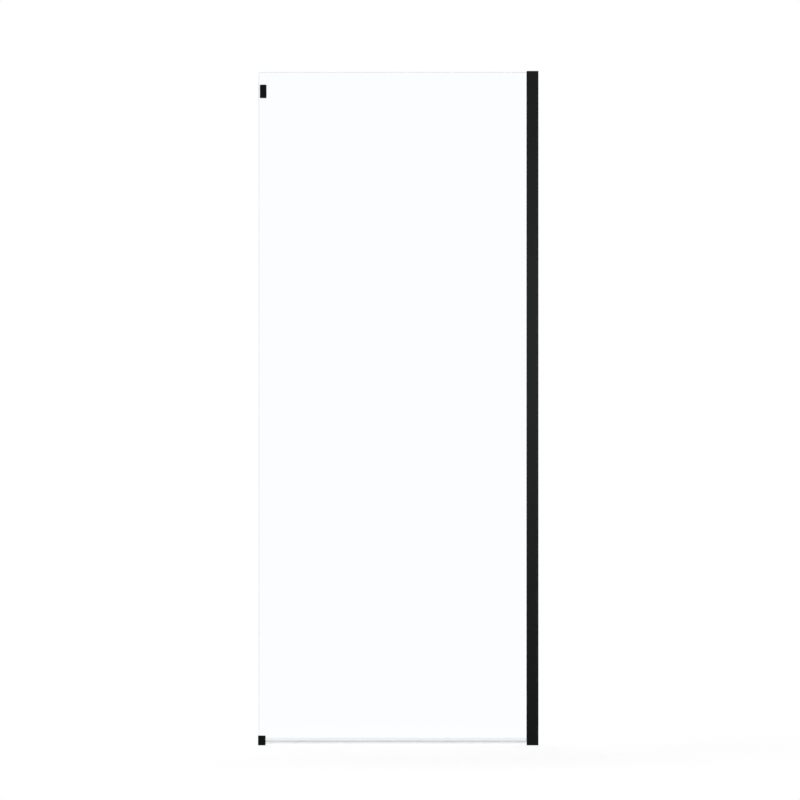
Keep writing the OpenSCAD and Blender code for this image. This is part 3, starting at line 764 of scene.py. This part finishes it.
# %% Grub screws
def grub_screw(rod, pitch_mm, length_mm, key_mm, key_depth_mm):
    """A cup point grub screw from 0 up to its length."""
    mesh, cup, top = threaded_rod(rod, pitch_mm, ROD_CHAMFER_MM, length_mm - ROD_CHAMFER_MM)
    step(mesh, cup, on_circle, rod * TIP_SHARE, ROD_CHAMFER_MM)
    step(mesh, cup, on_circle, rod * CONE_SHARE, -rod * CONE_FALL)
    step(mesh, top, on_circle, rod * TIP_SHARE, ROD_CHAMFER_MM)
    press_socket(mesh, top, key_mm, key_depth_mm)
    return mesh


low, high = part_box("rail_grub_screw")
rail_screw = grub_screw(rod=4, pitch_mm=0.7, length_mm=(high.x - low.x) / MM, key_mm=2, key_depth_mm=2.0)
places = [(low.x, (low.y + high.y) / 2, (low.z + high.z) / 2)]
dress("rail_grub_screw", put(rail_screw, (1, 0, 0), places), TURNED_STEEL)

low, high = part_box("foot_grub_screws")
foot_screw = grub_screw(rod=4, pitch_mm=0.7, length_mm=(high.y - low.y) / MM, key_mm=2, key_depth_mm=2.5)
places = [(x, low.y, (low.z + high.z) / 2) for x in centres_along(low.x, high.x, (high.z - low.z) / 2, 2)]
dress("foot_grub_screws", put(foot_screw, (0, 1, 0), places), TURNED_STEEL)

# %% [markdown]
# ## The nuts
# A hexagon nut is a round bar with six flats, so its corners are cut away by a cone at both ends, which
# leaves the curved edges that every nut has. Cutting with a cone would need a Boolean. Here a drum with 48
# sides is pushed onto the hexagon instead, and each point of its rims then drops by as much as the cone has
# fallen at that distance from the axis. The bore is a little wider than the M4 thread, so that the two
# meshes never touch.

# %% Hexagon nut
CHAMFER_SHARE = 0.475    # radius of the flat end, in widths across flats
CHAMFER_SLOPE = math.tan(math.radians(30))
NUT_BORE_MM = 4.1


def hexagon_nut(across_flats_mm, height_mm, bore_mm):
    """A nut from 0 up to its height, chamfered at both ends."""
    drum_radius, height = across_flats_mm / 2 * MM, height_mm * MM
    mesh = bmesh.new()
    bmesh.ops.create_cone(mesh, segments=STEPS, radius1=drum_radius, radius2=drum_radius, depth=height,
                          cap_ends=True, matrix=Matrix.Translation((0, 0, height / 2)))
    ends = [f for f in mesh.faces if len(f.verts) == STEPS]
    for end in ends:
        step(mesh, end, on_circle, across_flats_mm * CHAMFER_SHARE)
        rim = {v for e in end.edges for f in e.link_faces for v in f.verts} - set(end.verts)
        for point in rim:
            point.co = on_hexagon(point.co, across_flats_mm * MM)
            past_the_flat_end = math.hypot(point.co.x, point.co.y) - across_flats_mm * CHAMFER_SHARE * MM
            point.co -= end.normal * past_the_flat_end * CHAMFER_SLOPE
        step(mesh, end, on_circle, bore_mm / 2)
    bores = [e for end in ends for e in end.edges]
    bmesh.ops.delete(mesh, geom=ends, context="FACES_ONLY")
    bmesh.ops.bridge_loops(mesh, edges=bores)
    bmesh.ops.recalc_face_normals(mesh, faces=mesh.faces)
    return mesh


sample = hexagon_nut(across_flats_mm=7, height_mm=3.2, bore_mm=NUT_BORE_MM)
print("Nut:", len(sample.faces), "faces,", open_edges(sample), "open edges")
sample.free()

# %% [markdown]
# ## Nuts in their places
# The three nuts sit on the tips of the clamp screws, inside the glass profile. The frame's box is as wide
# as a nut across its flats, and at both ends it reaches to a corner of a nut, so the first and the last
# centre lie half a corner width inside it.

# %% Clamp nuts
low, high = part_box("clamp_nuts")
across_flats = high.x - low.x
half_corner = across_flats / 2 / math.cos(SIXTH / 2)
places = [((low.x + high.x) / 2, low.y, z) for z in centres_along(low.z, high.z, half_corner, 3)]
nut = hexagon_nut(across_flats / MM, (high.y - low.y) / MM, NUT_BORE_MM)
dress("clamp_nuts", put(nut, (0, 1, 0), places), TURNED_STEEL)

# %% [markdown]
# ## The pane
# The pane keeps the frame's shape, with its arrises, cut corners and hole. A face that looks straight out
# to the front or the back is fire-polished, and every other face was ground. Picking the ground faces one
# by one would be slow, so the direction of each face picks its material.

# %% Pane
POLISHED, GROUND = 0, 1
STRAIGHT_OUT = 0.99

pane = merged("glass_pane")
for face in pane.faces:
    face.material_index = POLISHED if abs(face.normal.y) > STRAIGHT_OUT else GROUND
print("Ground faces:", sum(f.material_index == GROUND for f in pane.faces))
dress("glass_pane", pane, GLASS, GLASS_EDGE)

# %% [markdown]
# ## The section of the seal
# The seal is one long extrusion of two plastics that melt together in the die. Its section is drawn first,
# at the end next to the foot. Two circles give the tube. The outer one is cut off where it meets the clip,
# a straight edge closes it there, and the two loops are bridged. The clip is one face that shares this
# edge. Two separate shapes would be simpler, but clear plastic shows every wall inside it, so the two
# become one closed skin.

# %% Section of the bottom seal
CLIP_WALL_MM, SEAT_MM = 0.9, 0.1
TUBE_MM, TUBE_WALL_MM = 6.0, 0.7

low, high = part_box("bottom_seal")
web_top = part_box("glass_pane")[0].z - SEAT_MM * MM
web_low = web_top - CLIP_WALL_MM * MM
outer_y, inner_y = high.y, high.y - CLIP_WALL_MM * MM

seal = bmesh.new()
upright = Matrix.Translation((low.x, 0, low.z + TUBE_MM / 2 * MM)) @ Matrix.Rotation(math.radians(90), 4, "Y")
bmesh.ops.create_circle(seal, segments=STEPS, radius=TUBE_MM / 2 * MM, matrix=upright)
bmesh.ops.bisect_plane(seal, geom=seal.verts[:] + seal.edges[:], dist=SAME_POINT, plane_co=(0, 0, web_low),
                       plane_no=(0, 0, 1), clear_outer=True)
left, right = sorted((v for v in seal.verts if len(v.link_edges) == 1), key=lambda v: v.co.y)
seal.edges.new((left, right))
bmesh.ops.create_circle(seal, segments=STEPS, radius=(TUBE_MM / 2 - TUBE_WALL_MM) * MM, matrix=upright)
bmesh.ops.bridge_loops(seal, edges=seal.edges[:])

below = [seal.verts.new((low.x, y, web_low)) for y in (-outer_y, outer_y)]
above = [seal.verts.new((low.x, y, z)) for y, z in (
    (outer_y, high.z), (inner_y, high.z), (inner_y, web_top),
    (-inner_y, web_top), (-inner_y, high.z), (-outer_y, high.z))]
seal.faces.new([below[0], left, right, below[1]] + above)
print("Seal: a section of", len(seal.faces), "faces,", round((high.z - low.z) / MM, 1), "mm high")

# %% [markdown]
# ## Pulling the seal
# An extrusion is its section pulled along its length, so the section is extruded along X, and the faces
# that it starts from stay behind to close the near end. The clip's tips are rounded, so that they slide
# over the arris of the glass. Each face then takes its plastic from its height: whatever reaches below the
# web of the clip is the soft tube.

# %% Bottom seal
STIFF, SOFT = 0, 1
TIP_MM = 0.3

length = high.x - low.x
pulled = bmesh.ops.extrude_face_region(seal, geom=seal.faces[:], use_keep_orig=True)["geom"]
bmesh.ops.translate(seal, verts=[g for g in pulled if isinstance(g, bmesh.types.BMVert)], vec=(length, 0, 0))
tips = [e for e in seal.edges if e.calc_length() > length - MM
        and all(abs(v.co.y) > inner_y - SAME_POINT and abs(v.co.z - web_top) > SAME_POINT for v in e.verts)]
bmesh.ops.bevel(seal, geom=tips, offset=TIP_MM * MM, offset_type="OFFSET", segments=4, profile=0.5,
                affect="EDGES", clamp_overlap=True, material=-1)
for face in seal.faces:
    face.material_index = SOFT if min(v.co.z for v in face.verts) < web_low - SAME_POINT else STIFF
bmesh.ops.recalc_face_normals(seal, faces=seal.faces)
print("Seal:", len(tips), "rounded edges,", open_edges(seal), "open edges")
dress("bottom_seal", seal, STIFF_PVC, SOFT_PVC)

# %% [markdown]
# ## White for the eye
# The photograph is a cut-out on white. The floor and the world read white to the camera and in whatever the
# glass and the metal show of them. More light would do that too, but it would bleach the panel, so it is
# done with Light Path, which says what kind of ray has arrived. The panel itself is lit at a plain level.

# %% What the eye sees
bpy.context.scene.view_settings.view_transform = "Standard"


def seen(tree):
    """One where a ray comes from the camera, a reflection or through glass, and otherwise zero."""
    path = add(tree, "ShaderNodeLightPath").outputs
    either = add(tree, "ShaderNodeMath", links={0: path["Is Camera Ray"], 1: path["Is Glossy Ray"]},
                 operation="MAXIMUM")
    return add(tree, "ShaderNodeMath", links={0: either.outputs[0], 1: path["Is Transmission Ray"]},
               operation="MAXIMUM").outputs[0]


print("Colours are shown as", bpy.context.scene.view_settings.view_transform)

# %% [markdown]
# ## The floor
# Close to the panel the floor gives up a share of that even white for its real, lit colour, which keeps the
# panel's shadow. The glow makes up for what a floor in full light lacks, so only the shadow is darker than
# white. Further out the share fades away, so that no horizon shows, and the pane's faint tint is even from
# top to bottom.

# %% Floor
FLOOR_SIZE, FLOOR_COLOUR = 60.0, 0.8
SHADOW_SHARE, SHADOW_REACH = 0.2, (0.7, 1.6)
LIT_FLOOR = 0.66


def studio_floor(centre):
    """White to the eye, with the lit colour mixed in near the centre."""
    material, tree, shader = start("studio_floor")
    look = seen(tree)
    place = add(tree, "ShaderNodeTexCoord").outputs["Object"]
    distance = add(tree, "ShaderNodeVectorMath", {1: centre}, {0: place}, operation="DISTANCE")
    near, far = SHADOW_REACH
    share = add(tree, "ShaderNodeMapRange",
                {"From Min": near, "From Max": far, "To Min": SHADOW_SHARE, "To Max": 0.0},
                {"Value": distance.outputs["Value"]}, interpolation_type="SMOOTHSTEP").outputs["Result"]
    lit = add(tree, "ShaderNodeMix", {NUMBER_A: FLOOR_COLOUR}, {"Factor": look, NUMBER_B: share})
    own_light = add(tree, "ShaderNodeMath", {1: LIT_FLOOR}, {0: share}, operation="MULTIPLY").outputs[0]
    white = add(tree, "ShaderNodeMath", {0: 1.0}, {1: own_light}, operation="SUBTRACT").outputs[0]
    glow = add(tree, "ShaderNodeMath", links={0: white, 1: look}, operation="MULTIPLY").outputs[0]
    shader.inputs["Roughness"].default_value = 0.9
    shader.inputs["Specular IOR Level"].default_value = 0.0
    shader.inputs["Emission Color"].default_value = (1, 1, 1, 1)
    tree.links.new(lit.outputs[NUMBER_OUT], shader.inputs["Base Color"])
    tree.links.new(glow, shader.inputs["Emission Strength"])
    return material


panel_middle = (cad_box[0] + cad_box[1]) / 2
ground = bmesh.new()
bmesh.ops.create_grid(ground, x_segments=1, y_segments=1, size=FLOOR_SIZE / 2,
                      matrix=Matrix.Translation((0, 0, cad_box[0].z - SAME_POINT)))
floor = bpy.data.objects.new("floor", bpy.data.meshes.new("floor"))
ground.to_mesh(floor.data)
ground.free()
floor.data.materials.append(studio_floor((panel_middle.x, panel_middle.y, cad_box[0].z)))
bpy.context.scene.collection.objects.link(floor)
print("Floor:", FLOOR_SIZE, "m wide")

# %% [markdown]
# ## The room
# The rest of the room is the world, without walls. To the eye its strength is one, which is white. As light
# on the panel it is only about a third of that, a soft fill in every shadow that leaves the shape to the
# lamps.

# %% World
ROOM_LEVEL = 0.34

world = bpy.data.worlds.new("white_studio")
bpy.context.scene.world = world
world.use_nodes = True
room = world.node_tree
strength = add(room, "ShaderNodeMapRange", {"To Min": ROOM_LEVEL, "To Max": 1.0}, {"Value": seen(room)})
room.nodes["Background"].inputs["Color"].default_value = (1, 1, 1, 1)
room.links.new(strength.outputs["Result"], room.nodes["Background"].inputs["Strength"])
print("Room level:", ROOM_LEVEL)

# %% [markdown]
# ## The lamps
# The black profile is brightest a little above its middle and falls off towards both ends, which tells of a
# softbox at that height beside the camera. A large one overhead, one behind the panel and one off its free
# edge light the other sides. A bright rectangle in the clear pane would spoil the picture, so no lamp can
# be seen straight on or through the glass. The two high ones may show in reflections, because an upright
# pane never mirrors them to a camera, and so they draw a soft line of light along the upper edges of the
# black pieces.

# %% Softboxes
def softbox(name, place, target, size, power, spread=180, mirrored=False):
    """An area lamp at a place, turned to a target, in metres, watts and degrees."""
    lamp = bpy.data.lights.new(name, "AREA")
    lamp.shape, lamp.size, lamp.size_y = "RECTANGLE", size[0], size[1]
    lamp.energy, lamp.spread = power, math.radians(spread)
    holder = bpy.data.objects.new(name, lamp)
    bpy.context.scene.collection.objects.link(holder)
    holder.location = place
    holder.rotation_euler = (Vector(target) - Vector(place)).to_track_quat("-Z", "Y").to_euler()
    holder.visible_camera = holder.visible_transmission = False
    holder.visible_glossy = mirrored


KEY_HEIGHT = 1.15
softbox("key_softbox", (1.0, -1.5, KEY_HEIGHT), (-0.1, 0, KEY_HEIGHT), (0.5, 0.5), power=6.8, spread=75)
softbox("top_softbox", (-0.4, -1.2, 4.2), (-0.4, 0, 0.8), (2.5, 2.5), power=6, mirrored=True)
softbox("back_softbox", (-1.2, 3.5, 4.2), (-0.4, 0, 0.8), (2.0, 2.0), power=80, mirrored=True)
softbox("edge_softbox", (-3.0, 0.3, 1.2), (-0.4, 0, 0.95), (1.5, 2.5), power=22)
